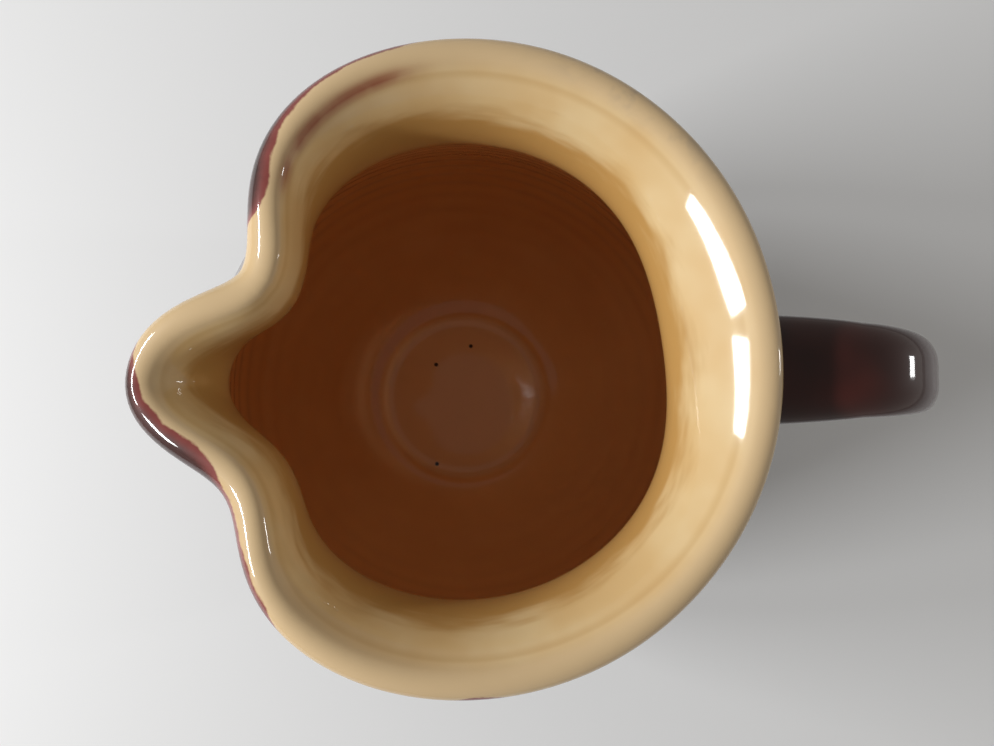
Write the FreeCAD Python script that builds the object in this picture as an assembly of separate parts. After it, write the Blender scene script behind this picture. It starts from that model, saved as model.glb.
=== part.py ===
import FreeCAD, Part

import math
import os

# A small glazed earthenware milk jug in one piece, as it is thrown: a round belly on a low foot, a
# drawn-in throat, a flared mouth with a rolled lip, a spout pinched into the lip, and a pulled
# strap handle opposite the spout.
#
# Millimetres. +Z is up and the jug stands on z = 0, with the axis of the wheel on Z. The handle
# points along +X and the spout along -X. Angles are in degrees, counter-clockwise from +X.

# Overall sizes
height = 150.0            # table to the crest of the lip
rim_radius = 56.0         # axis to the outer edge of the lip, where nothing is pinched
belly_radius = 65.5       # axis to the fullest part of the belly, outside
belly_height = 57.0       # table to the fullest part of the belly
wall = 5.0                # clay thickness of belly, neck and flare

# Mouth and neck
lip_thickness = 6.4       # the roll of clay along the edge of the mouth
flare_lean = 45.0         # how far the flare leans out from upright, just below the lip
throat_radius = 43.0      # axis to the narrowest place inside the neck
throat_drop = 17.0        # crest of the lip down to the narrowest place
shoulder_radius = 50.8    # axis to the outside of the shoulder, below the neck
shoulder_drop = 25.5      # crest of the lip down to that place
shoulder_lean = 16.5      # how far the shoulder leans out from upright there

# Foot and floor
foot_radius = 42.0        # axis to the outside of the foot
foot_height = 4.0         # the upright band of the foot
foot_round = 1.2          # worn edge where the foot meets the table
foot_land = 6.0           # width of the ring that touches the table
foot_recess = 3.0         # hollow turned into the underside
recess_taper = 1.5        # how much narrower the hollow is at its top
foot_rise = 1.6           # the belly springs from the foot this far above the upright band
foot_step = 1.2           # and this far outside it
foot_spread = 52.0        # the belly leaves the foot this far out from upright
floor_height = 8.0        # table to the glaze pool on the inside floor
pool_radius = 27.0        # axis to the edge of the round sunken pool
pool_depth = 1.6          # how far the pool lies below the floor around it
pool_step = 3.0           # half-width of the soft step round the pool
floor_slope = 15.0        # how steeply the floor comes down to the pool
dome_rise = 1.1           # crown of the pool's floor
dome_flat = 3.0           # radius of the level spot on that crown

# Spout: the lip is pushed in at two places, and what is left between them is the spout
spout_angle = 184.0
spout_droop = 3.0         # how far the tip of the spout hangs below the crest of the lip
spout_spread = 15.0       # half-width of the drooping part, in degrees
notch_angles = (157.6, 211.0)
notch_depths = (17.8, 11.9)
notch_inner_spreads = (13.4, 15.5)  # the spout's side of each notch, in degrees
notch_outer_spreads = (15.3, 11.9)  # the long side of each notch, in degrees
pinch_reach = 70.0        # the pinching fades out this far below the crest of the lip
throw_out = 1.7           # the tip of the spout is drawn out this far past the round of the mouth
throw_angle = 187.0
throw_spread = 10.0       # half-width of that drawing out, in degrees

# Handle, a strap that tapers from the neck to the belly
handle_angle = 359.0
handle_reach = 94.5       # axis to the outermost point of the handle
handle_thickness = 7.0
handle_drop = 6.5         # crest of the lip down to the top of the strap
handle_top_radius = 72.0  # axis to the highest place of the strap
lip_climb = 14.0          # how steeply the strap still climbs where it passes the lip
lip_climb_share = 0.6     # how much of its climb from root to top it has done by there
root_drop = 15.0          # crest of the lip down to the middle of the upper root
root_thickness = 8.0      # of the buried upper end
root_cover = 0.2          # share of the neck's wall that stays inside the buried upper end
tail_height = 68.0        # table to the middle of the lower root
tail_thickness = 11.0
tail_slope = 38.0         # how steeply the strap comes down to the belly
tail_sink = 2.1           # how deep the lower end is buried in the belly
buried_share = 0.06       # share of the strap over which its ends turn to lie in the wall
root_width = 21.0         # across the strap, along Y: at the neck,
lip_width = 19.7          # where it passes the lip,
top_width = 17.2          # at its highest place,
bend_width = 13.0         # at its outermost place
tail_width = 16.0         # and where it is pressed on to the belly
strap_square = 2.2        # 2 is an oval strap, larger is squarer
press_angle = 8.0         # the neck is pressed in behind the upper root, deepest here
press_depth = 5.3
press_spread = 36.0       # half-width of that place, in degrees
press_reach = 11.0        # half-height of that place

# Fineness of the curved skins
columns = 72              # points round the jug
span_points = 4           # points along each stretch of the outline
strap_columns = 28        # points round the strap
strap_points = 8          # points along each stretch of the handle
band_stations = (0, 3, 5, 8, 10, 12, 14, 15, 16)  # stations of the outline where the skin's bands meet
flare_station = 10        # the station of the flare's inner side, and that of the shoulder's
shoulder_station = 12

UP = 90.0
INWARD = 180.0
DOWN = 270.0


def station(across, up, heading):
    """A point of an outline and the direction in which the outline runs through it."""
    return (across, up, heading)


def shifted(place, distance, turn):
    """The station moved sideways, to the left of its heading, and turned by an angle."""
    across, up, heading = place
    side = math.radians(heading + UP)
    return station(across + distance * math.cos(side), up + distance * math.sin(side), heading + turn)


def span(start, end, points):
    """Points of the smooth curve from one station up to, but not including, the next one.

    The curve leaves and arrives along the headings, and is close to a round arc.
    """
    chord = math.hypot(end[0] - start[0], end[1] - start[1])
    turn = math.radians(abs(end[2] - start[2]))
    reach = chord / 3.0
    if turn > 0.0:
        reach = 4.0 / 3.0 * math.tan(turn / 4.0) * chord / (2.0 * math.sin(turn / 2.0))
    first = math.radians(start[2])
    last = math.radians(end[2])
    corners = (
        (start[0], start[1]),
        (start[0] + reach * math.cos(first), start[1] + reach * math.sin(first)),
        (end[0] - reach * math.cos(last), end[1] - reach * math.sin(last)),
        (end[0], end[1]),
    )
    curve = []
    for step in range(points):
        t = step / points
        shares = ((1 - t) ** 3, 3 * t * (1 - t) ** 2, 3 * t * t * (1 - t), t ** 3)
        across = sum(share * corner[0] for share, corner in zip(shares, corners))
        up = sum(share * corner[1] for share, corner in zip(shares, corners))
        curve.append((across, up))
    return curve


def outline(stations, points):
    """Points of the whole curve through the stations, both ends included."""
    curve = []
    for start, end in zip(stations, stations[1:]):
        curve += span(start, end, points)
    curve.append((stations[-1][0], stations[-1][1]))
    return curve


def bump(x):
    """1 at x = 0, falling smoothly to nothing beyond x = 2."""
    return math.exp(-x * x)


def angle_between(a, b):
    """How far angle a lies from angle b, in degrees, from -180 to 180."""
    return (a - b + 180.0) % 360.0 - 180.0


# Outline of the jug


def body_stations():
    """Foot, up the outside, over the lip, down the inside and on to the pool in the floor."""
    lip = lip_thickness / 2.0
    lip_across = rim_radius - lip
    lip_up = height - lip
    lip_side = lip * math.cos(math.radians(flare_lean))
    lip_rise = lip * math.sin(math.radians(flare_lean))
    neck = station(throat_radius + wall, height - throat_drop, UP)
    shoulder = station(shoulder_radius, height - shoulder_drop, UP + shoulder_lean)
    belly = station(belly_radius, belly_height, UP)
    dome_edge = pool_radius - pool_step
    dome_slope = math.degrees(2.0 * math.atan(dome_rise / dome_edge))
    return [
        station(foot_radius - foot_round, 0.0, 0.0),
        station(foot_radius, foot_round, UP),
        station(foot_radius, foot_height, UP),
        station(foot_radius + foot_step, foot_height + foot_rise, UP - foot_spread),
        belly,
        shoulder,
        neck,
        station(lip_across + lip_side, lip_up - lip_rise, UP - flare_lean),
        station(rim_radius, lip_up, UP),
        station(lip_across, height, INWARD),
        station(lip_across - lip_side, lip_up + lip_rise, DOWN - flare_lean),
        shifted(neck, wall, INWARD),
        shifted(shoulder, wall, INWARD),
        shifted(belly, wall, INWARD),
        station(pool_radius + pool_step, floor_height + pool_depth, INWARD + floor_slope),
        station(dome_edge, floor_height, INWARD - dome_slope),
        station(dome_flat, floor_height + dome_rise, INWARD),
    ]


# Pinched spout and pressed neck


def pinch_share(up):
    """How much of the pinching is felt at a height: all of it at the lip, none below its reach."""
    share = (up - height + pinch_reach) / pinch_reach
    return max(0.0, min(1.0, share)) ** 2


def notch_depth(angle):
    """How far the lip is pushed in at an angle round the mouth."""
    depth = 0.0
    for place, deepest, inner, outer in zip(
            notch_angles, notch_depths, notch_inner_spreads, notch_outer_spreads):
        away = angle_between(angle, place)
        if away * angle_between(spout_angle, place) > 0.0:
            shape = bump(away / inner)
        else:
            shape = 1.0 / math.cosh(away / outer)
        depth += deepest * shape
    return depth


def press_depth_at(angle, up):
    """How far the neck is pressed in behind the handle."""
    rise = (up - (height - root_drop)) / press_reach
    return press_depth * bump(angle_between(angle, press_angle) / press_spread) * bump(rise)


def wall_radius(up):
    """Radius of the outside of the wall near the mouth, the line that the pinching bends."""
    low = height - throat_drop
    share = max(0.0, min(1.0, (up - low) / (throat_drop - lip_thickness / 2.0)))
    return throat_radius + wall + (rim_radius - throat_radius - wall) * share


def bent_radius(angle, up):
    """Radius of that line once it is pinched, drawn out at the spout and pressed at the handle."""
    drawn = throw_out * bump(angle_between(angle, throw_angle) / throw_spread)
    return wall_radius(up) + (drawn - notch_depth(angle)) * pinch_share(up) - press_depth_at(angle, up)


def body_point(across, up, angle):
    """A point of the outline turned to an angle, pinched at the spout with the wall kept full."""
    small = 0.25
    here = bent_radius(angle, up)
    slope = (bent_radius(angle + small, up) - bent_radius(angle - small, up)) / math.radians(2.0 * small)
    turn = math.radians(angle)
    normal_x = here * math.cos(turn) + slope * math.sin(turn)
    normal_y = here * math.sin(turn) - slope * math.cos(turn)
    length = math.hypot(normal_x, normal_y)
    offset = across - wall_radius(up)
    droop = spout_droop * bump(angle_between(angle, spout_angle) / spout_spread) * pinch_share(up) ** 2
    return FreeCAD.Vector(
        here * math.cos(turn) + offset * normal_x / length,
        here * math.sin(turn) + offset * normal_y / length,
        up - droop,
    )


# Curved skins


def skin(rings, seams):
    """The smooth skin through rings of points, as bands that meet at the rings numbered in seams."""
    around = len(rings[0])
    ring_places = [float(i) for i in range(around + 1)]
    curves = []
    for ring in rings:
        curve = Part.BSplineCurve()
        curve.interpolate(Points=ring, PeriodicFlag=True, Parameters=ring_places)
        curves.append(curve)
    along = [0.0]
    for ring, following in zip(rings, rings[1:]):
        step = sum(a.distanceToPoint(b) for a, b in zip(ring, following)) / around
        along.append(along[-1] + step)
    columns_of_poles = []
    for column in zip(*[curve.getPoles() for curve in curves]):
        curve_along = Part.BSplineCurve()
        curve_along.interpolate(Points=list(column), Parameters=along)
        columns_of_poles.append(curve_along.getPoles())
    surface = Part.BSplineSurface()
    surface.buildFromPolesMultsKnots(
        columns_of_poles,
        curves[0].getMultiplicities(),
        curve_along.getMultiplicities(),
        curves[0].getKnots(),
        curve_along.getKnots(),
        True,
        False,
        curves[0].Degree,
        curve_along.Degree,
    )
    bands = []
    for first, last in zip(seams, seams[1:]):
        band = surface.copy()
        band.segment(0.0, float(around), along[first], along[last])
        bands.append(band.toShape())
    return bands


def end_cap(band, ring):
    """The flat face that closes a band at one of its end rings."""
    start = ring[0]
    rims = [edge for edge in band.Edges if edge.isClosed()]
    rim = min(rims, key=lambda edge: edge.firstVertex().Point.distanceToPoint(start))
    return Part.Face(Part.Wire([rim]))


def closed_solid(rings, seams):
    """The solid inside a skin whose two ends are flat."""
    bands = skin(rings, seams)
    shell = Part.Shell(bands + [end_cap(bands[0], rings[0]), end_cap(bands[-1], rings[-1])])
    shell.sewShape()
    return Part.Solid(shell)


# Pieces of the jug, joined into one


def make_body():
    """The thrown pot, with the hollow under its foot."""
    profile = outline(body_stations(), span_points)
    # the rings start at the side of the jug, clear of the spout and the handle
    angles = [UP + 360.0 * i / columns for i in range(columns)]
    rings = [[body_point(across, up, angle) for angle in angles] for across, up in profile]
    pot = closed_solid(rings, [span_points * place for place in band_stations])
    recess_radius = foot_radius - foot_round - foot_land
    recess = Part.makeCone(recess_radius, recess_radius - recess_taper, foot_recess)
    return pot.cut(recess)


def inside_of_neck(up):
    """Radius of the pressed inside of the neck at a height, behind the handle."""
    curve = outline(body_stations()[flare_station:shoulder_station + 1], span_points)
    upper, lower = next(
        (a, b) for a, b in zip(curve, curve[1:]) if b[1] <= up <= a[1])
    share = (upper[1] - up) / (upper[1] - lower[1])
    return upper[0] + (lower[0] - upper[0]) * share - press_depth_at(handle_angle, up)


def root_place():
    """Middle of the buried upper end, and how far it leans out from upright with the wall."""
    root_up = height - root_drop
    upper = inside_of_neck(root_up + root_thickness / 2.0)
    lower = inside_of_neck(root_up - root_thickness / 2.0)
    lean = math.degrees(math.atan2(upper - lower, root_thickness))
    return (upper + lower) / 2.0 + wall * root_cover, root_up, lean


def handle_stations():
    """Middle line of the strap in the upright plane through the axis, from the neck to the belly."""
    root_across, root_up = root_place()[:2]
    tail_across = belly_radius - tail_sink
    half = handle_thickness / 2.0
    out_across = handle_reach - half
    top_up = height - handle_drop - half
    bend = out_across - handle_top_radius
    out_up = top_up - bend
    return [
        station(root_across, root_up, 360.0),
        station(rim_radius + half, root_up + (top_up - root_up) * lip_climb_share, 360.0 + lip_climb),
        station(handle_top_radius, top_up, 360.0),
        station(out_across, out_up, DOWN),
        station(tail_across, tail_height, INWARD + tail_slope),
    ]


def through(values, place):
    """The smooth line through values at places 0, 1, 2 and on, read at one place."""
    first = min(int(place), len(values) - 2)
    t = place - first
    start = values[first]
    end = values[first + 1]
    before = values[max(first - 1, 0)]
    after = values[min(first + 2, len(values) - 1)]
    leave = (end - before) / 2.0
    arrive = (after - start) / 2.0
    return ((2 * t ** 3 - 3 * t ** 2 + 1) * start + (t ** 3 - 2 * t ** 2 + t) * leave
            + (3 * t ** 2 - 2 * t ** 3) * end + (t ** 3 - t ** 2) * arrive)


def rounded(x):
    """A cosine or sine drawn towards its ends, which fills out the corners of the strap's oval."""
    return math.copysign(abs(x) ** (2.0 / strap_square), x)


def strap_ring(across, up, heading, width, thick):
    """Points round the strap, in the plane square to its middle line."""
    side = math.sin(math.radians(heading))
    rise = math.cos(math.radians(heading))
    ring = []
    for i in range(strap_columns):
        turn = 2.0 * math.pi * i / strap_columns
        wide = rounded(math.cos(turn)) * width / 2.0
        deep = rounded(math.sin(turn)) * thick / 2.0
        ring.append(FreeCAD.Vector(across - deep * side, wide, up + deep * rise))
    return ring


def make_handle():
    """The strap, buried a little in the neck and in the belly."""
    line = outline(handle_stations(), strap_points)
    widths = (root_width, lip_width, top_width, bend_width, tail_width)
    thicks = (root_thickness, handle_thickness, handle_thickness, handle_thickness, tail_thickness)
    rings = []
    for i, (across, up) in enumerate(line):
        before = line[max(i - 1, 0)]
        after = line[min(i + 1, len(line) - 1)]
        heading = math.degrees(math.atan2(after[1] - before[1], after[0] - before[0]))
        share = i / (len(line) - 1)
        heading += angle_between(-root_place()[2], heading) * bump(share / buried_share)
        heading += angle_between(INWARD, heading) * bump((1.0 - share) / buried_share)
        place = i / strap_points
        rings.append(strap_ring(across, up, heading, through(widths, place), through(thicks, place)))
    strap = closed_solid(rings, [0, len(rings) - 1])
    strap.rotate(FreeCAD.Vector(0, 0, 0), FreeCAD.Vector(0, 0, 1), handle_angle)
    return strap


jug = make_body().fuse(make_handle())
jug = jug.Solids[0]

os.makedirs("parts", exist_ok=True)
jug.exportStep("parts/jug.step")
print("valid", jug.isValid(), "faces", len(jug.Faces), "volume", round(jug.Volume / 1000.0, 1), "cm3")
print("box", jug.BoundBox)
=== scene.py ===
# %% [markdown]
# # A glazed earthenware milk jug
#
# The jug is one piece of fired clay: a round belly on a low foot, a drawn-in neck, a flared mouth
# with a rolled lip, a spout pinched into the lip, and a strap handle pulled from the neck to the
# belly. Inside and over the lip it wears a honey glaze, and outside a dark red-brown one.
#
# Everything here is in metres, with +Z up, the jug standing on z = 0, the handle towards +X and
# the spout towards -X. The imported solid is loaded first, and its box is kept.

import math

import bmesh
import bpy
import numpy as np
from mathutils import Matrix, Vector


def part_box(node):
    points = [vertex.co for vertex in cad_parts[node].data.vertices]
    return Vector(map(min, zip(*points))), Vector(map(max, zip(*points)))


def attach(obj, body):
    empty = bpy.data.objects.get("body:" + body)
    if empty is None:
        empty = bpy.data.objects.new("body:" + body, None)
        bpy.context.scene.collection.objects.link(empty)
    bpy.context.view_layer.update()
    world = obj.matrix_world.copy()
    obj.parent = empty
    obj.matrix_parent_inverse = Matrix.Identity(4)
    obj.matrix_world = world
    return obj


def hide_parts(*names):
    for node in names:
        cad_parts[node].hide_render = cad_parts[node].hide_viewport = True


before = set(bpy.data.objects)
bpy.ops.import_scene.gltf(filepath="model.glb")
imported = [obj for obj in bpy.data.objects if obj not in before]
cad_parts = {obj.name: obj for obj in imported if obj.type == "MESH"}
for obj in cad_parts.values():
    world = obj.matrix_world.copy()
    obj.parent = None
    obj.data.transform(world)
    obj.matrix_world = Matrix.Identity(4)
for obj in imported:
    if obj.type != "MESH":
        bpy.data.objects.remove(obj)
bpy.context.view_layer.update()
low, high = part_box("jug")
print("the solid is", [round(b - a, 4) for a, b in zip(low, high)], "m")

# %% [markdown]
# ## The sizes of the jug
#
# A thrown pot is an outline turned about the wheel's axis, so a few radii and heights give nearly
# all of it. They are the sizes that the solid was made with. The height, the reach of the handle
# and the belly are read from the solid itself, so those three can't drift apart.

# %% Sizes of the pot
mm = 0.001
height = high.z
belly_radius = high.y
handle_reach = high.x
rim_radius = 56.0 * mm
belly_height = 57.0 * mm
wall = 5.0 * mm
lip_thickness = 6.4 * mm
flare_lean = 45.0
throat_radius = 43.0 * mm
throat_drop = 17.0 * mm
shoulder_radius = 50.8 * mm
shoulder_drop = 25.5 * mm
shoulder_lean = 16.5
foot_radius = 42.0 * mm
foot_height = 4.0 * mm
foot_round = 1.2 * mm
foot_land = 6.0 * mm
foot_recess = 3.0 * mm
recess_taper = 1.5 * mm
foot_rise = 1.6 * mm
foot_step = 1.2 * mm
foot_spread = 52.0
floor_height = 8.0 * mm
pool_radius = 27.0 * mm
pool_depth = 1.6 * mm
pool_step = 3.0 * mm
floor_slope = 15.0
dome_rise = 1.1 * mm

# %% Sizes of the spout and the handle
spout_angle = 184.0
spout_droop = 3.0 * mm
spout_spread = 15.0
notch_angles = (157.6, 211.0)
notch_depths = (17.8 * mm, 11.9 * mm)
notch_inner_spreads = (13.4, 15.5)
notch_outer_spreads = (15.3, 11.9)
pinch_reach = 70.0 * mm
throw_out = 1.7 * mm
throw_angle = 187.0
throw_spread = 10.0
handle_angle = 359.0
handle_thickness = 7.0 * mm
handle_drop = 6.5 * mm
handle_top_radius = 72.0 * mm
lip_climb = 14.0
lip_climb_share = 0.6
root_drop = 15.0 * mm
tail_height = 68.0 * mm
tail_slope = 38.0
strap_widths = (21.0 * mm, 19.7 * mm, 17.2 * mm, 13.0 * mm, 16.0 * mm)
strap_thicks = (8.0 * mm, 7.0 * mm, 7.0 * mm, 7.0 * mm, 11.0 * mm)
strap_square = 2.2
groove_depth = 0.25 * mm
groove_spread = 0.35
press_angle = 8.0
press_depth = 5.3 * mm
press_spread = 36.0
press_reach = 11.0 * mm

# %% [markdown]
# ## The outline
#
# An outline could be drawn as one long list of points, but then nobody could say what a point is
# for. Instead it is a chain of stations: the places where a potter's rib would pause, each with
# the direction in which the wall runs there. Between two stations runs a cubic curve that leaves
# and arrives along those directions and is close to a round arc.

# %% Curves between stations
UP, INWARD, DOWN = 90.0, 180.0, 270.0


def station(across, up, heading):
    """A point of an outline and the direction in which the outline runs through it."""
    return (across, up, heading)


def shifted(place, distance, turn):
    """The station moved sideways, to the left of its heading, and turned by an angle."""
    across, up, heading = place
    side = math.radians(heading + UP)
    return station(across + distance * math.cos(side), up + distance * math.sin(side), heading + turn)


def span(start, end, shares):
    """Points of the smooth curve from one station to the next, at shares of its way."""
    chord = math.hypot(end[0] - start[0], end[1] - start[1])
    turn = math.radians(abs(end[2] - start[2]))
    reach = chord / 3.0
    if turn > 0.0:
        reach = 4.0 / 3.0 * math.tan(turn / 4.0) * chord / (2.0 * math.sin(turn / 2.0))
    first, last = math.radians(start[2]), math.radians(end[2])
    a = np.array(start[:2])
    d = np.array(end[:2])
    b = a + reach * np.array([math.cos(first), math.sin(first)])
    c = d - reach * np.array([math.cos(last), math.sin(last)])
    t = np.asarray(shares)[:, None]
    return (1 - t) ** 3 * a + 3 * t * (1 - t) ** 2 * b + 3 * t * t * (1 - t) * c + t ** 3 * d


def straight(start, end, shares):
    """Points of the straight line between two stations."""
    t = np.asarray(shares)[:, None]
    return (1 - t) * np.array(start[:2]) + t * np.array(end[:2])


# %% [markdown]
# The outline starts under the foot, in the hollow that was turned into it, and runs out over the
# foot ring, up the belly, over the lip, down the inside and in to the middle of the floor. Each
# stretch says how far apart its rows of vertices lie: close on the lip, where the light runs
# along the roll of clay, and wider inside the belly.

# %% The stations and the spacing of the rows
lip = lip_thickness / 2.0
lip_across, lip_up = rim_radius - lip, height - lip
lip_side = lip * math.cos(math.radians(flare_lean))
lip_rise = lip * math.sin(math.radians(flare_lean))
recess_radius = foot_radius - foot_round - foot_land
dome_edge = pool_radius - pool_step
dome_slope = math.degrees(2.0 * math.atan(dome_rise / dome_edge))
neck = station(throat_radius + wall, height - throat_drop, UP)
shoulder = station(shoulder_radius, height - shoulder_drop, UP + shoulder_lean)
belly = station(belly_radius, belly_height, UP)
crest = station(lip_across, height, INWARD)
tiny = 0.5 * mm

stretches = [
    (straight, station(tiny, foot_recess, 0.0), 3.0 * mm),
    (straight, station(recess_radius - recess_taper, foot_recess, 0.0), 1.5 * mm),
    (straight, station(recess_radius, 0.0, 0.0), 1.5 * mm),
    (span, station(foot_radius - foot_round, 0.0, 0.0), 0.5 * mm),
    (straight, station(foot_radius, foot_round, UP), 0.9 * mm),
    (span, station(foot_radius, foot_height, UP), 0.5 * mm),
    (span, station(foot_radius + foot_step, foot_height + foot_rise, UP - foot_spread), 1.0 * mm),
    (span, belly, 0.95 * mm),
    (span, shoulder, 0.95 * mm),
    (span, neck, 0.95 * mm),
    (span, station(lip_across + lip_side, lip_up - lip_rise, UP - flare_lean), 0.45 * mm),
    (span, station(rim_radius, lip_up, UP), 0.45 * mm),
    (span, crest, 0.45 * mm),
    (span, station(lip_across - lip_side, lip_up + lip_rise, DOWN - flare_lean), 0.8 * mm),
    (span, shifted(neck, wall, INWARD), 1.0 * mm),
    (span, shifted(shoulder, wall, INWARD), 1.3 * mm),
    (span, shifted(belly, wall, INWARD), 1.3 * mm),
    (span, station(pool_radius + pool_step, floor_height + pool_depth, INWARD + floor_slope), 0.5 * mm),
    (span, station(dome_edge, floor_height, INWARD - dome_slope), 1.5 * mm),
    (None, station(tiny, floor_height + dome_rise, INWARD), 0.0),
]

# %% [markdown]
# Equal steps of a cubic's own parameter crowd together where it bends, so every stretch is first
# drawn finely and then read at equal steps of its real length. Each row also learns how far it
# lies from the crest of the lip, measured along the clay: more than nothing outside, less inside.
# The glazes need that later, because glaze runs along the clay.

# %% The rows of the outline
fine_shares = np.linspace(0.0, 1.0, 81)
rows = []
way = 0.0
row_ways = []
for (shape, start, spacing), (_, end, _) in zip(stretches, stretches[1:]):
    if start is crest:
        crest_way = way
    fine = shape(start, end, fine_shares)
    lengths = np.concatenate([[0.0], np.cumsum(np.hypot(*np.diff(fine, axis=0).T))])
    count = max(1, round(lengths[-1] / spacing))
    for i in range(count):
        at = lengths[-1] * i / count
        rows.append((np.interp(at, lengths, fine[:, 0]), np.interp(at, lengths, fine[:, 1])))
        row_ways.append(way + at)
    way += lengths[-1]
rows.append(stretches[-1][1][:2])
row_ways.append(way)
rows = np.array(rows)
lip_way = crest_way - np.array(row_ways)
print(len(rows), "rows,", round(way, 3), "m of outline")

# %% [markdown]
# ## Pinching the spout
#
# On the wheel the mouth is round. While the clay is soft, two fingers push the lip in at two
# places and a third draws the clay between them out and down: that is the spout. The neck is
# also pressed in a little where the handle is stuck on. So the round wall line is bent, and the
# wall is then laid off square to the bent line. That keeps the clay equally thick all round,
# which plain scaling towards the axis wouldn't.

# %% The bends of the wall


def bump(x):
    """1 at x = 0, falling smoothly to nothing beyond x = 2."""
    return np.exp(-x * x)


def angle_between(a, b):
    """How far angle a lies from angle b, in degrees, from -180 to 180."""
    return (a - b + 180.0) % 360.0 - 180.0


def pinch_share(up):
    """How much of the pinching is felt at a height."""
    return np.clip((up - height + pinch_reach) / pinch_reach, 0.0, 1.0) ** 2


def notch_depth(angle):
    """How far the lip is pushed in at an angle round the mouth."""
    depth = 0.0
    notches = zip(notch_angles, notch_depths, notch_inner_spreads, notch_outer_spreads)
    for place, deepest, inner, outer in notches:
        away = angle_between(angle, place)
        spout_side = away * angle_between(spout_angle, place) > 0.0
        depth = depth + deepest * np.where(spout_side, bump(away / inner), 1.0 / np.cosh(away / outer))
    return depth


def wall_radius(up):
    """Radius of the outside of the wall near the mouth, the line that the pinching bends."""
    share = np.clip((up - height + throat_drop) / (throat_drop - lip), 0.0, 1.0)
    return throat_radius + wall + (rim_radius - throat_radius - wall) * share


def bent_radius(angle, up):
    """Radius of that line once it is pinched, drawn out at the spout and pressed at the handle."""
    drawn = throw_out * bump(angle_between(angle, throw_angle) / throw_spread)
    rise = (up - (height - root_drop)) / press_reach
    pressed = press_depth * bump(angle_between(angle, press_angle) / press_spread) * bump(rise)
    return wall_radius(up) + (drawn - notch_depth(angle)) * pinch_share(up) - pressed


def body_points(across, up, angle):
    """Points of the outline turned to angles, with the wall kept full where it is bent."""
    small = 0.25
    here = bent_radius(angle, up)
    slope = (bent_radius(angle + small, up) - bent_radius(angle - small, up)) / math.radians(2.0 * small)
    cos, sin = np.cos(np.radians(angle)), np.sin(np.radians(angle))
    normal_x, normal_y = here * cos + slope * sin, here * sin - slope * cos
    offset = (across - wall_radius(up)) / np.hypot(normal_x, normal_y)
    droop = spout_droop * bump(angle_between(angle, spout_angle) / spout_spread) * pinch_share(up) ** 2
    return np.stack([here * cos + offset * normal_x, here * sin + offset * normal_y, up - droop], axis=-1)


# %% The grid of the pot
columns = 240
angles = handle_angle + 360.0 * np.arange(columns) / columns
grid = body_points(rows[:, :1], rows[:, 1:], angles[None, :])
print("pot grid", grid.shape)

# %% [markdown]
# ## The hand of the potter
#
# A thrown wall is never quite true. Fingers leave a spiral of shallow rings inside, fainter ones
# outside, and the lip waves by up to a quarter of a millimetre. These are shallow enough for a
# bump map, but real relief also bends the long highlights on the glaze, so it is put into the
# mesh. Outside it only ever goes inwards, so that the jug doesn't outgrow its solid.

# %% Throwing rings and unevenness


def grid_normals(points):
    """Unit normals of a grid whose columns close up into rings, pointing out of the clay."""
    around = np.roll(points, -1, axis=1) - np.roll(points, 1, axis=1)
    along = np.gradient(points, axis=0)
    normal = np.cross(around, along)
    return normal / np.maximum(np.linalg.norm(normal, axis=-1, keepdims=True), 1e-12)


def ease(low_edge, high_edge, x):
    """0 below one edge and 1 above the other, smoothly."""
    t = np.clip((x - low_edge) / (high_edge - low_edge), 0.0, 1.0)
    return t * t * (3.0 - 2.0 * t)


ring_pitch_inside = 9.0 * mm
ring_pitch_outside = 5.0 * mm
ring_height_inside = 0.11 * mm
ring_height_outside = 0.025 * mm
wave_height = 0.06 * mm
wave_peak = 2.2
wave_reach = 30.0 * mm
turn = np.radians(angles)[None, :]
way_out = lip_way[:, None]
way_in = -way_out

inside = ease(12.0 * mm, 40.0 * mm, way_in)
off_pool = ease(pool_radius + 2.0 * pool_step, pool_radius + 8.0 * pool_step, rows[:, :1])
drift = 0.7 * np.sin(turn * 2.0 + way_in * 90.0)
spiral = np.sin(2.0 * np.pi * way_in / ring_pitch_inside + turn + drift)
finger = ring_height_inside * inside * off_pool * (spiral + 0.4 * np.sin(turn * 3.0 + way_in * 300.0))

outside = ease(6.0 * mm, 20.0 * mm, way_out) * ease(foot_height, foot_height + 8.0 * mm, rows[:, 1:])
faint_spiral = np.sin(2.0 * np.pi * way_out / ring_pitch_outside - turn)
faint = ring_height_outside * outside * (faint_spiral - 1.0)

lip_zone = ease(-wave_reach, -2.0 * mm, way_out) * ease(-wave_reach, -2.0 * mm, way_in)
wave = np.sin(turn * 3.0 + 0.6) + 0.7 * np.sin(turn * 5.0 + 2.1) + 0.5 * np.sin(turn * 8.0 + 4.0)
uneven = wave_height * lip_zone * (wave - wave_peak)

relief = finger + faint + uneven
grid = grid + grid_normals(grid) * relief[..., None]
normals = grid_normals(grid)
print("relief from", round(float(relief.min() / mm), 2), "mm to",
      round(float(relief.max() / mm), 2), "mm")

# %% [markdown]
# ## The handle
#
# The strap is pulled from a lump of clay, stuck to the neck, bent over and pressed on to the
# belly, and its ends are smeared into the wall. A strap that is only pushed through the wall
# would meet it in a hard crease. So the pot's grid gets two rectangular openings, the strap's rings
# have as many vertices as each opening's edge, and short curves that leave the wall along its
# surface and arrive along the strap make the smeared fillets.

# %% The middle line of the strap


def eased_way(start, leave, end, arrive, t):
    """A share t of the cubic way that leaves the start and reaches the end at given rates."""
    return ((2 * t ** 3 - 3 * t ** 2 + 1) * start + (t ** 3 - 2 * t ** 2 + t) * leave
            + (3 * t ** 2 - 2 * t ** 3) * end + (t ** 3 - t ** 2) * arrive)


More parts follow.
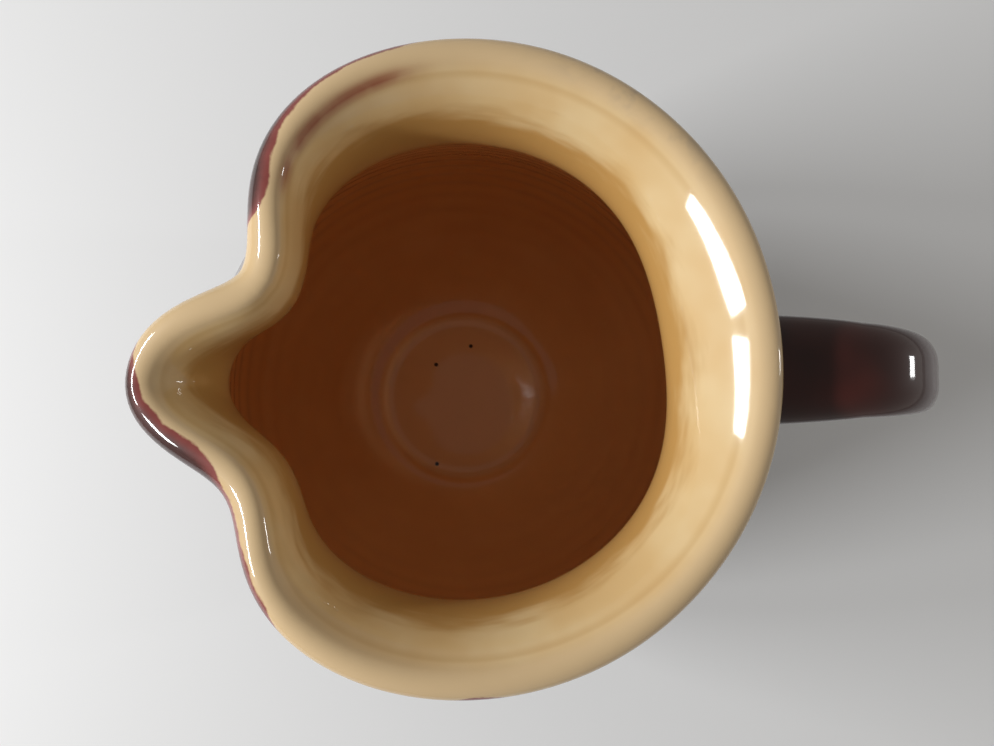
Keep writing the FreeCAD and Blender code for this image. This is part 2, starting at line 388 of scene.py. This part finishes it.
def through(values, place):
    """The smooth line through values at places 0, 1, 2 and on, read at one place."""
    first = min(int(place), len(values) - 2)
    start, end = values[first], values[first + 1]
    leave = (end - values[max(first - 1, 0)]) / 2.0
    arrive = (values[min(first + 2, len(values) - 1)] - start) / 2.0
    return eased_way(start, leave, end, arrive, place - first)


half_strap = handle_thickness / 2.0
root_up = height - root_drop
root_across = throat_radius + wall - press_depth
top_up = height - handle_drop - half_strap
out_across = handle_reach - half_strap
handle_stations = [
    station(root_across, root_up, 360.0),
    station(rim_radius + half_strap, root_up + (top_up - root_up) * lip_climb_share, 360.0 + lip_climb),
    station(handle_top_radius, top_up, 360.0),
    station(out_across, top_up - (out_across - handle_top_radius), DOWN),
    station(belly_radius - half_strap, tail_height, INWARD + tail_slope),
]
strap_steps = 26
strap_shares = np.arange(strap_steps) / strap_steps
strap_line = np.concatenate(
    [span(a, b, strap_shares) for a, b in zip(handle_stations, handle_stations[1:])])
strap_places = np.arange(len(strap_line)) / strap_steps
strap_heads = np.unwrap(np.arctan2(*np.gradient(strap_line, axis=0).T[::-1]))
print(len(strap_line), "places along the strap")

# %% [markdown]
# Each opening is centred on the row of the grid where the middle of the strap meets the wall.
# Its edge is walked round in the same sense as a ring of the strap, so that vertex for vertex the
# two can be joined without a twist.

# %% Openings in the wall and the rings of the strap
outer_rows = np.nonzero(lip_way > 0.0)[0]
root_cells = (22, 14)
tail_cells = (14, 22)


def opening(up, cells, top_first):
    """Grid places round a rectangular opening centred at a height, their angles, and its extent."""
    wide, tall = cells
    middle = outer_rows[np.argmin(abs(rows[outer_rows, 1] - up))]
    bottom, top = middle - tall // 2, middle - tall // 2 + tall
    near, far = (top, bottom) if top_first else (bottom, top)
    step = 1 if far > near else -1
    edge = [(near, c) for c in range(-(wide // 2), wide // 2)]
    edge += [(r, wide // 2) for r in range(near, far, step)]
    edge += [(far, c) for c in range(wide // 2, -(wide // 2), -1)]
    edge += [(r, -(wide // 2)) for r in range(far, near, -step)]
    angles_round = []
    for r, c in edge:
        rise = (r - (near + far) / 2.0) / (tall / 2.0) * step
        angles_round.append(math.atan2(rise, c / (wide / 2.0)))
    return edge, np.unwrap(np.array(angles_round)), (bottom, top, wide // 2)


root_edge, root_round, root_hole = opening(root_up, root_cells, False)
tail_edge, tail_round, tail_hole = opening(tail_height, tail_cells, True)
even_round = root_round[0] + 2.0 * np.pi * np.arange(len(root_round)) / len(root_round)
swing = Matrix.Rotation(math.radians(handle_angle), 3, "Z")


def rounded(x):
    """A cosine or sine drawn towards its ends, which fills out the corners of the strap's oval."""
    return np.sign(x) * np.abs(x) ** (2.0 / strap_square)


def strap_ring(index, rounds):
    """Points round the strap at one place of its middle line."""
    (across, up), heading = strap_line[index], strap_heads[index]
    place = strap_places[index]
    wide = rounded(np.cos(rounds)) * through(strap_widths, place) / 2.0
    deep = rounded(np.sin(rounds)) * through(strap_thicks, place) / 2.0
    deep = deep - groove_depth * bump((rounds - math.pi / 2.0) / groove_spread)
    flat = np.stack([across - deep * math.sin(heading), wide, up + deep * math.cos(heading)], axis=-1)
    return flat @ np.array(swing).T


def rounds_at(share):
    """Angles round the strap: the openings' own at its ends, and even ones between them."""
    early, late = ease(0.0, 0.3, share), ease(0.7, 1.0, share)
    start = root_round * (1.0 - early) + even_round * early
    return start * (1.0 - late) + tail_round * late


print("openings of", len(root_edge), "and", len(tail_edge), "vertices")

# %% [markdown]
# The fillets are cubic curves from every vertex of an opening to its partner on the first ring
# that stands clear of the wall. They start along the wall and end along the strap, which is how
# a thumb leaves smeared clay.

# %% Fillets and the whole strap
clear_of_wall = 4.5 * mm
fillet_steps = 7


def distance_from_wall(index):
    """How far a place of the strap's middle line lies outside the wall of the pot."""
    across, up = strap_line[index]
    return np.hypot(grid[outer_rows, 0, 0] - across, grid[outer_rows, 0, 2] - up).min()


middle_index = len(strap_line) // 2
first_ring = next(i for i in range(1, middle_index)
                  if strap_line[i, 0] > root_across and distance_from_wall(i) > clear_of_wall)
last_ring = next(i for i in range(len(strap_line) - 1, middle_index, -1)
                 if strap_line[i, 0] > belly_radius and distance_from_wall(i) > clear_of_wall)


def fillet(edge, ring, along_strap):
    """Rings between an opening's edge and a ring of the strap."""
    start = np.array([grid[r, c] for r, c in edge])
    normal = np.array([normals[r, c] for r, c in edge])
    gap = ring - start
    length = np.linalg.norm(gap, axis=1, keepdims=True)
    leave = gap - normal * np.sum(gap * normal, axis=1, keepdims=True)
    leave *= length / np.maximum(np.linalg.norm(leave, axis=1, keepdims=True), 1e-9)
    arrive = along_strap * length
    return [eased_way(start, leave, ring, arrive, i / fillet_steps) for i in range(1, fillet_steps)]


def strap_direction(index, sign):
    """The direction of the strap at a place, away from the wall."""
    heading = strap_heads[index]
    flat = np.array([math.cos(heading), 0.0, math.sin(heading)]) * sign
    return flat @ np.array(swing).T


ring_steps = last_ring - first_ring
strap_rings = [strap_ring(first_ring + i, rounds_at(i / ring_steps)) for i in range(ring_steps + 1)]
root_fillet = fillet(root_edge, strap_rings[0], strap_direction(first_ring, 1.0))
tail_fillet = fillet(tail_edge, strap_rings[-1], strap_direction(last_ring, -1.0))
handle_rings = root_fillet + strap_rings + tail_fillet[::-1]
print(len(handle_rings), "rings from neck to belly")

# %% [markdown]
# ## Where the glazes meet
#
# The jug was dipped in the dark glaze outside and had the honey glaze poured in and swilled over
# the lip. The border lies round the outside of the lip, mostly just out of sight from above, and
# climbs to the crest beside the spout. Its way below the crest, in millimetres, is named at a
# few angles round the mouth, and the line between them is softened. Every vertex stores how far
# it lies past the border, and the material can then draw a line far finer than the mesh.

# %% The border between the glazes
border_low = 5.4 * mm
border_places = {
    92.0: 5.4, 100.0: 2.3, 118.0: 1.6, 128.0: 1.0, 141.0: 0.0, 145.0: 0.9, 149.0: 5.4,
    174.0: 5.4, 179.0: 2.1, 184.0: -0.2, 192.0: -0.9, 200.0: -0.7, 205.0: 0.3, 209.0: 3.0,
    214.0: 3.4, 224.0: 2.1, 233.0: 2.1, 241.0: 5.4, 266.0: 5.4, 271.0: 2.4, 276.0: 2.4, 281.0: 5.4,
}
border_way = np.array(list(border_places.values())) * mm
border = np.interp(angles % 360.0, list(border_places), border_way)
border = (np.roll(border, 1) + 2.0 * border + np.roll(border, -1)) / 4.0
past_border = way_out - border[None, :]
print("the border lies", round(float(border.min() / mm), 1), "to", round(float(border.max() / mm), 1),
      "mm below the crest")

# %% [markdown]
# Three more marks lie on the lip: a reddish streak just inside it beside the spout, greyish matt
# patches, and a duller, browner outside of the roll, strongest towards the handle, whose darker
# colour is painted shade of the roll where it faces away from the softboxes. They are soft fields
# on the vertices too.

# %% Marks on the lip
streak_way, streak_width = -3.1 * mm, 1.2 * mm
patches_way, patches_width = 1.2 * mm, 3.0 * mm
patches_angle, patches_spread = 55.0, 15.0
# The outside of the roll is painted darker, most towards the handle, as painted shade where it faces away
# from the softboxes; the same mask makes the glaze duller.
roll_shade_angle, roll_shade_spread, roll_shade_everywhere = 5.0, 62.0, 0.45
streak_round = ease(95.0, 108.0, angles % 360.0) * (1.0 - ease(136.0, 146.0, angles % 360.0))
streak = bump((way_out - streak_way) / streak_width) * streak_round[None, :]
patches_round = bump(angle_between(angles, patches_angle) / patches_spread)
patches = bump((way_out - patches_way) / patches_width) * patches_round[None, :]
roll_shade_round = bump(angle_between(angles, roll_shade_angle) / roll_shade_spread)
roll_shade_round = roll_shade_everywhere + (1.0 - roll_shade_everywhere) * roll_shade_round
dull_shaded_roll = ease(1.4 * mm, 3.6 * mm, way_out) * roll_shade_round[None, :]

# %% [markdown]
# ## One closed mesh
#
# The pot's grid, the two fans that close its middles and the rings of the handle become one
# mesh without a gap or an inner wall, as the jug is one piece of clay. First comes the grid: it
# leaves out the cells of the openings, and the vertices strictly inside them.

# %% The grid of the pot as faces


def in_opening(row, column, margin):
    """Whether a grid place lies in an opening, at least so many rows and columns past its edge."""
    signed = (column + columns // 2) % columns - columns // 2
    return any(bottom + margin <= row < top and margin - half <= signed < half
               for bottom, top, half in (root_hole, tail_hole))


shell = bmesh.new()
grid_fields = {
    "past_border": past_border, "streak": streak, "patches": patches, "dull_shaded_roll": dull_shaded_roll,
    "lip_way": np.broadcast_to(way_out, past_border.shape),
}
fields = {name: [] for name in grid_fields}
pot_vertices = {}
for r in range(len(rows)):
    for c in range(columns):
        if not in_opening(r, c, 1):
            pot_vertices[r, c] = shell.verts.new(grid[r, c])
            for name, values in grid_fields.items():
                fields[name].append(values[r, c])
for r in range(len(rows) - 1):
    for c in range(columns):
        if not in_opening(r, c, 0):
            n = (c + 1) % columns
            corners = ((r, c), (r, n), (r + 1, n), (r + 1, c))
            shell.faces.new([pot_vertices[corner] for corner in corners])

# %% [markdown]
# A fan of triangles closes the middle of the foot and of the floor, and the rings of the handle
# run from the edge of one opening to the edge of the other. None of these carries a mark of the
# lip, and the handle counts as far below it.

# %% Fans and handle


def add_plain_fields(way_here):
    """Fields of a vertex that lies on the handle or in the middle of the foot or floor."""
    plain_values = {"past_border": way_here - border_low, "lip_way": way_here}
    for name in fields:
        fields[name].append(plain_values.get(name, 0.0))


handle_way = 60.0 * mm
for r, up in ((0, foot_recess), (len(rows) - 1, floor_height + dome_rise)):
    middle = shell.verts.new((0.0, 0.0, up))
    add_plain_fields(lip_way[r])
    for c in range(columns):
        shell.faces.new([pot_vertices[r, c], pot_vertices[r, (c + 1) % columns], middle])

loops = [[pot_vertices[r, c % columns] for r, c in root_edge]]
for ring in handle_rings:
    loops.append([shell.verts.new(point) for point in ring])
    for _ in ring:
        add_plain_fields(handle_way)
loops.append([pot_vertices[r, c % columns] for r, c in tail_edge])
for near, far in zip(loops, loops[1:]):
    for i in range(len(near)):
        n = (i + 1) % len(near)
        shell.faces.new([near[i], near[n], far[n], far[i]])

# %% [markdown]
# Faces are shaded smooth across every edge but the sharp ones. The mesh is then
# counted: an open edge would be a hole in the clay.

# %% One object with its fields
crease_angle = 50.0
bmesh.ops.recalc_face_normals(shell, faces=shell.faces)
for edge in shell.edges:
    edge.smooth = len(edge.link_faces) == 2 and edge.calc_face_angle(0.0) < math.radians(crease_angle)
open_edges = sum(1 for edge in shell.edges if len(edge.link_faces) != 2)
volume = shell.calc_volume(signed=True)
jug_mesh = bpy.data.meshes.new("jug_clay")
shell.to_mesh(jug_mesh)
shell.free()
for polygon in jug_mesh.polygons:
    polygon.use_smooth = True
for name, values in fields.items():
    attribute = jug_mesh.attributes.new(name, "FLOAT", "POINT")
    attribute.data.foreach_set("value", np.array(values, np.float32))
jug = bpy.data.objects.new("jug_clay", jug_mesh)
bpy.context.scene.collection.objects.link(jug)
print(len(jug_mesh.polygons), "faces,", open_edges, "open edges,",
      round(volume * 1e6, 1), "cubic cm of clay")

# %% [markdown]
# ## The glazes
#
# One material holds both glazes and the bare clay, because the border between them must fall
# where the clay says and not where a face ends. Its nodes work out shares between 0 and 1 from
# the stored fields and from the place on the jug, then mix the colours by them.

# %% Helpers for the nodes
glaze = bpy.data.materials.new("honey_and_brown_glaze")
glaze.use_nodes = True
tree = glaze.node_tree
shader = tree.nodes["Principled BSDF"]


def put(socket, value):
    """Links a socket to another one, or sets its value."""
    if isinstance(value, bpy.types.NodeSocket):
        tree.links.new(value, socket)
    else:
        socket.default_value = value


def field(name):
    """A number stored on the vertices."""
    node = tree.nodes.new("ShaderNodeAttribute")
    node.attribute_name = name
    return node.outputs["Fac"]


def math_of(operation, *values):
    """One step of arithmetic."""
    node = tree.nodes.new("ShaderNodeMath")
    node.operation = operation
    for socket, value in zip(node.inputs, values):
        put(socket, value)
    return node.outputs[0]


def eased(value, low_edge, high_edge, to_low=0.0, to_high=1.0):
    """The value led smoothly from one range to another."""
    node = tree.nodes.new("ShaderNodeMapRange")
    node.interpolation_type = "SMOOTHSTEP"
    for name, number in (("Value", value), ("From Min", low_edge), ("From Max", high_edge),
                         ("To Min", to_low), ("To Max", to_high)):
        put(node.inputs[name], number)
    return node.outputs[0]


def cloud(scale, detail=2.0, stretch=None):
    """Soft noise from 0 to 1 in the clay's own place, with so many lumps to the metre."""
    node = tree.nodes.new("ShaderNodeTexNoise")
    node.inputs["Scale"].default_value = scale
    node.inputs["Detail"].default_value = detail
    vector = place.outputs["Object"]
    if stretch:
        mapping = tree.nodes.new("ShaderNodeMapping")
        mapping.inputs["Scale"].default_value = stretch
        tree.links.new(vector, mapping.inputs["Vector"])
        vector = mapping.outputs["Vector"]
    tree.links.new(vector, node.inputs["Vector"])
    return node.outputs["Fac"]


def wobble(noise, reach):
    """Soft noise spread so that it runs half a reach to either side of nothing."""
    return math_of("MULTIPLY", math_of("SUBTRACT", noise, 0.5), reach)


def tinted(share, from_colour, to_colour):
    """Two colours mixed by a share."""
    node = tree.nodes.new("ShaderNodeMix")
    node.data_type = "RGBA"
    put(node.inputs["Factor"], share)
    for socket, colour in ((node.inputs["A"], from_colour), (node.inputs["B"], to_colour)):
        put(socket, colour if isinstance(colour, bpy.types.NodeSocket) else (*colour, 1.0))
    return node.outputs["Result"]


place = tree.nodes.new("ShaderNodeTexCoord")
split = tree.nodes.new("ShaderNodeSeparateXYZ")
tree.links.new(place.outputs["Object"], split.inputs[0])

# %% [markdown]
# The honey glaze is a clear amber over pale slip. It is thinnest on the roll of the lip, and palest
# on the flare. A faint darker line is painted where the roll ends, as painted shade of that fold. In
# the throat a browner band is painted, in streaks that run round with the throwing, wider on the
# side of the spout: partly a browner glaze, partly painted shade of the neck, reaching higher on the
# shaded spout side. Below that it is a deeper orange, painted lighter towards +X and -Y as painted
# light, and a paler disc in the well in the middle of the floor is a painted reflection of the
# bright mouth above. Slow noise keeps it from being one flat colour.

# %% Honey glaze
honey_thin = (0.61, 0.445, 0.25)
honey_pale = (0.69, 0.52, 0.28)
honey = (0.64, 0.44, 0.205)
# The throat colour is partly a browner glaze and partly painted shade of the neck.
honey_throat_shade = (0.46, 0.262, 0.082)
honey_deep = (0.71, 0.355, 0.132)
# The lit orange is painted light on one side of the deep orange.
honey_painted_lit = (0.84, 0.49, 0.21)
# The pool colour is a painted reflection of the bright mouth above.
honey_pool_reflection = (0.82, 0.54, 0.29)
throat_shade_tilt = -0.05
roll_end = 4.2 * mm
fold_shade_strength = 0.3

depth_down = math_of("MULTIPLY", field("lip_way"), -1.0)
# The throat band reaches higher on the spout side, as painted shade of that side.
shade_sides = math_of("MULTIPLY", split.outputs["X"], throat_shade_tilt)
streaks = wobble(cloud(420.0, 2.0, (0.2, 0.2, 1.0)), 9.0 * mm)
run_down = math_of("ADD", depth_down, math_of("ADD", shade_sides, streaks))
throat_shade_share = eased(run_down, 8.5 * mm, 14.5 * mm)
depth_share = eased(depth_down, 20.0 * mm, 32.0 * mm)
# A darker line is painted where the roll ends, as painted shade of that fold.
fold_shade_share = math_of("MULTIPLY", eased(depth_down, roll_end - 0.8 * mm, roll_end),
                     eased(depth_down, roll_end, roll_end + 1.4 * mm, fold_shade_strength, 0.0))
roll_share = eased(math_of("ABSOLUTE", depth_down), 1.0 * mm, 4.5 * mm, 1.0, 0.0)
honey_colour = tinted(eased(cloud(70.0), 0.35, 0.7), honey, honey_pale)
honey_colour = tinted(roll_share, honey_colour, honey_thin)
honey_colour = tinted(fold_shade_share, honey_colour, honey_throat_shade)
honey_colour = tinted(throat_shade_share, honey_colour, honey_throat_shade)
# The deep orange is painted lighter towards +X and -Y, as painted light on the side facing the softboxes.
across = math_of("SUBTRACT", split.outputs["X"], split.outputs["Y"])
lit_side_share = math_of("ADD", eased(across, -60.0 * mm, 60.0 * mm), wobble(cloud(35.0), 1.0))
deep_colour = tinted(lit_side_share, honey_deep, honey_painted_lit)
# The paler disc in the well of the floor is a painted reflection of the bright mouth above.
pool_way = way - crest_way - pool_radius
deep_colour = tinted(eased(depth_down, pool_way - 1.5 * mm, pool_way + 0.5 * mm), deep_colour, honey_pool_reflection)
honey_colour = tinted(depth_share, honey_colour, deep_colour)

# %% [markdown]
# Marks in the honey glaze: the reddish streak, the greyish patches, the painted shade on the roll's
# outside and a few pinholes, where gas broke through the glaze in the kiln and left a dark pit.

# %% Marks in the honey glaze
streak_colour = (0.31, 0.09, 0.038)
patch_colour = (0.33, 0.27, 0.2)
# Painted shade of the outside of the roll.
roll_shade_colour = (0.36, 0.23, 0.1)
pit_colour = (0.03, 0.012, 0.006)
streak_share = math_of("MULTIPLY", field("streak"), eased(cloud(160.0), 0.2, 0.55, 0.35, 1.0))
honey_colour = tinted(streak_share, honey_colour, streak_colour)
patch_share = math_of("MULTIPLY", field("patches"), eased(cloud(180.0, 3.0), 0.45, 0.62))
honey_colour = tinted(math_of("MULTIPLY", patch_share, 0.6), honey_colour, patch_colour)
dull_shade_share = math_of("MULTIPLY", field("dull_shaded_roll"), eased(cloud(90.0), 0.2, 0.8, 0.55, 1.0))
honey_colour = tinted(math_of("MULTIPLY", dull_shade_share, 0.55), honey_colour, roll_shade_colour)

# the place and radius of each pit, in millimetres
pits = (
    (-10.0, 11.0, 8.7, 0.9), (2.0, 17.5, 8.6, 0.9), (-9.5, -23.2, 8.1, 0.9), (31.0, 47.0, 60.0, 0.5),
    (39.0, 6.0, 20.0, 0.45), (-48.0, 16.0, 95.0, 0.5),
)
pit_share = 0.0
for x, y, z, radius in pits:
    apart = tree.nodes.new("ShaderNodeVectorMath")
    apart.operation = "DISTANCE"
    tree.links.new(place.outputs["Object"], apart.inputs[0])
    apart.inputs[1].default_value = (x * mm, y * mm, z * mm)
    dark = eased(apart.outputs["Value"], 0.5 * radius * mm, radius * mm, 1.0, 0.0)
    pit_share = math_of("MAXIMUM", pit_share, dark)
honey_colour = tinted(pit_share, honey_colour, pit_colour)

# %% [markdown]
# The outside glaze is an iron-rich red-brown, nearly black where it is thick and redder where it
# is thin, as round the bend of the handle. Beside the border a lighter red shows through. The
# border wanders a little and is a touch soft, as one melt runs into the other.

# %% Red-brown glaze and the border
brown_thick = (0.018, 0.004, 0.003)
brown_thin = (0.058, 0.010, 0.007)
border_red = (0.25, 0.056, 0.048)
brown_colour = tinted(eased(cloud(45.0), 0.35, 0.7), brown_thick, brown_thin)
wander = math_of("ADD", wobble(cloud(230.0), 1.6 * mm), wobble(cloud(1400.0), 0.4 * mm))
past = math_of("ADD", field("past_border"), wander)
brown_share = eased(past, -0.25 * mm, 0.3 * mm)
near_border = eased(past, 0.2 * mm, 2.6 * mm, 1.0, 0.0)
bend_share = eased(split.outputs["X"], handle_reach - 24.0 * mm, handle_reach - 4.0 * mm)
brown_colour = tinted(bend_share, brown_colour, brown_thin)
brown_colour = tinted(math_of("MULTIPLY", near_border, 0.85), brown_colour, border_red)
glaze_colour = tinted(brown_share, honey_colour, brown_colour)

# %% [markdown]
# The foot is wiped clean before firing, or the jug would stick to the kiln shelf. Bare red
# earthenware shows there, matt and a little gritty, with an uneven line where the glaze stops.

# %% Bare clay under the foot
clay_dark = (0.42, 0.17, 0.085)
clay_pale = (0.52, 0.25, 0.14)
bare_line = 3.3 * mm
bare_height = math_of("ADD", split.outputs["Z"], wobble(cloud(120.0), 1.6 * mm))
bare_share = eased(bare_height, bare_line - 0.2 * mm, bare_line + 0.2 * mm, 1.0, 0.0)
clay_colour = tinted(eased(cloud(900.0), 0.35, 0.65), clay_dark, clay_pale)
put(shader.inputs["Base Color"], tinted(bare_share, glaze_colour, clay_colour))

# %% [markdown]
# Glaze is glass over colour. The shader's coat is the smooth skin of the glass, with a sharp
# reflection, and the reflection of the coloured layer under it is broad and weak. The glass isn't
# optically flat: a very shallow orange-peel swell breaks its highlights. The outside of the roll
# with its painted shade and the grey patches are duller, and the bare clay under the foot is matt.

# %% Gloss and swell of the glaze
roughness_glazed, roughness_dull, roughness_added_on_clay = 0.42, 0.55, 0.7
dull = math_of("MAXIMUM", math_of("MULTIPLY", dull_shade_share, 0.5), patch_share)
roughness = eased(dull, 0.0, 1.0, roughness_glazed, roughness_dull)
roughness = math_of("ADD", roughness, math_of("MULTIPLY", bare_share, roughness_added_on_clay))
put(shader.inputs["Roughness"], roughness)
shader.inputs["IOR"].default_value = 1.5
shader.inputs["Specular IOR Level"].default_value = 0.12
shader.inputs["Coat Weight"].default_value = 0.9
shader.inputs["Coat Roughness"].default_value = 0.06
swell = tree.nodes.new("ShaderNodeBump")
swell.inputs["Distance"].default_value = 0.12 * mm
swell.inputs["Strength"].default_value = 0.35
grit = math_of("MULTIPLY", bare_share, cloud(1500.0, 1.0))
put(swell.inputs["Height"], math_of("ADD", cloud(260.0, 1.0), math_of("MULTIPLY", grit, 2.0)))
tree.links.new(swell.outputs["Normal"], shader.inputs["Normal"])
jug_mesh.materials.append(glaze)
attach(jug, "root")
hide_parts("jug")
print(len(tree.nodes), "nodes in the glaze")

# %% [markdown]
# ## Table, light and camera
#
# The jug stands on a plain pale table. A wide low softbox in two panes lights it from the side
# of the spout, so that one long highlight runs along the flare, broken by the bar between the
# panes. A small one beside the handle gives the sparks on the lip. The surrounding light is weak,
# and weakest overhead, as under someone who leans over the table.

# %% Table
table_material = bpy.data.materials.new("pale_table")
table_material.use_nodes = True
table_shader = table_material.node_tree.nodes["Principled BSDF"]
table_shader.inputs["Base Color"].default_value = (0.78, 0.79, 0.8, 1.0)
table_shader.inputs["Roughness"].default_value = 0.6
table_half = 4.0
table_mesh = bpy.data.meshes.new("table")
table_mesh.from_pydata(
    [(-table_half, -table_half, 0.0), (table_half, -table_half, 0.0),
     (table_half, table_half, 0.0), (-table_half, table_half, 0.0)], [], [(0, 1, 2, 3)])
table_mesh.materials.append(table_material)
table = bpy.data.objects.new("table", table_mesh)
bpy.context.scene.collection.objects.link(table)

# %% Softboxes
mouth = Vector((0.0, 0.0, height * 0.9))


def softbox(name, azimuth, elevation, distance, width, tall, watts, roll=0.0):
    """A plain rectangular lamp that faces the mouth of the jug, rolled about its facing line."""
    lamp = bpy.data.lights.new(name, "AREA")
    lamp.shape = "RECTANGLE"
    lamp.size, lamp.size_y, lamp.energy = width, tall, watts
    holder = bpy.data.objects.new(name, lamp)
    bpy.context.scene.collection.objects.link(holder)
    a, e = math.radians(azimuth), math.radians(elevation)
    away = Vector((math.cos(a) * math.cos(e), math.sin(a) * math.cos(e), math.sin(e)))
    holder.location = mouth + away * distance
    facing = away.to_track_quat("Z", "Y").to_matrix() @ Matrix.Rotation(math.radians(roll), 3, "Z")
    holder.rotation_euler = facing.to_euler()
    holder.visible_camera = False
    return holder


softbox("wide_pane", 194.6, 29.5, 1.0, 0.36, 0.09, 6.7, -20.0)
softbox("narrow_pane", 170.5, 28.5, 1.0, 0.26, 0.07, 4.1, 22.0)
softbox("small_lamp", 5.0, 13.0, 1.2, 0.08, 0.12, 0.75)

# %% Weak light all round
overhead_strength, level_strength = 0.2, 0.58
world = bpy.data.worlds.new("room")
world.use_nodes = True
room = world.node_tree
background = room.nodes["Background"]
where = room.nodes.new("ShaderNodeTexCoord")
parts = room.nodes.new("ShaderNodeSeparateXYZ")
fade = room.nodes.new("ShaderNodeMapRange")
room.links.new(where.outputs["Generated"], parts.inputs[0])
room.links.new(parts.outputs["Z"], fade.inputs["Value"])
for name, number in (("From Min", 1.0), ("From Max", 0.0),
                     ("To Min", overhead_strength), ("To Max", level_strength)):
    fade.inputs[name].default_value = number
rays = room.nodes.new("ShaderNodeLightPath")
seen = room.nodes.new("ShaderNodeMix")
room.links.new(rays.outputs["Is Camera Ray"], seen.inputs["Factor"])
room.links.new(fade.outputs[0], seen.inputs["A"])
seen.inputs["B"].default_value = 1.0
room.links.new(seen.outputs["Result"], background.inputs["Strength"])
background.inputs["Color"].default_value = (0.89, 0.85, 0.80, 1.0)
bpy.context.scene.world = world
bpy.context.scene.view_settings.view_transform = "Standard"

# %% [markdown]
# The camera hangs about 13 cm above the mouth, a little towards the near side, and looks
# almost straight down. Two small slopes say how a plumb line leans in its view, and the rest of
# its rotation follows from keeping +X to the right.

# %% Camera
focal_share = 0.7797
plumb_across, plumb_down = -0.0359, -0.0770
camera_place = Vector((1.5 * mm, -12.5 * mm, 276.6 * mm))
up_seen = -Vector((plumb_across, plumb_down, -1.0)).normalized()
right_seen = Vector((1.0, 0.0, 0.0))
right_seen = (right_seen - up_seen * right_seen.dot(up_seen)).normalized()
away_seen = up_seen.cross(right_seen)
lens = bpy.data.cameras.new("camera")
lens.sensor_width = 36.0
lens.lens = lens.sensor_width * focal_share
lens.clip_start = 0.005
camera = bpy.data.objects.new("camera", lens)
bpy.context.scene.collection.objects.link(camera)
turned = Matrix((right_seen, away_seen, up_seen)).to_4x4()
camera.matrix_world = Matrix.Translation(camera_place) @ turned
bpy.context.scene.camera = camera
print("lens of", round(lens.lens, 1), "mm over the mouth")
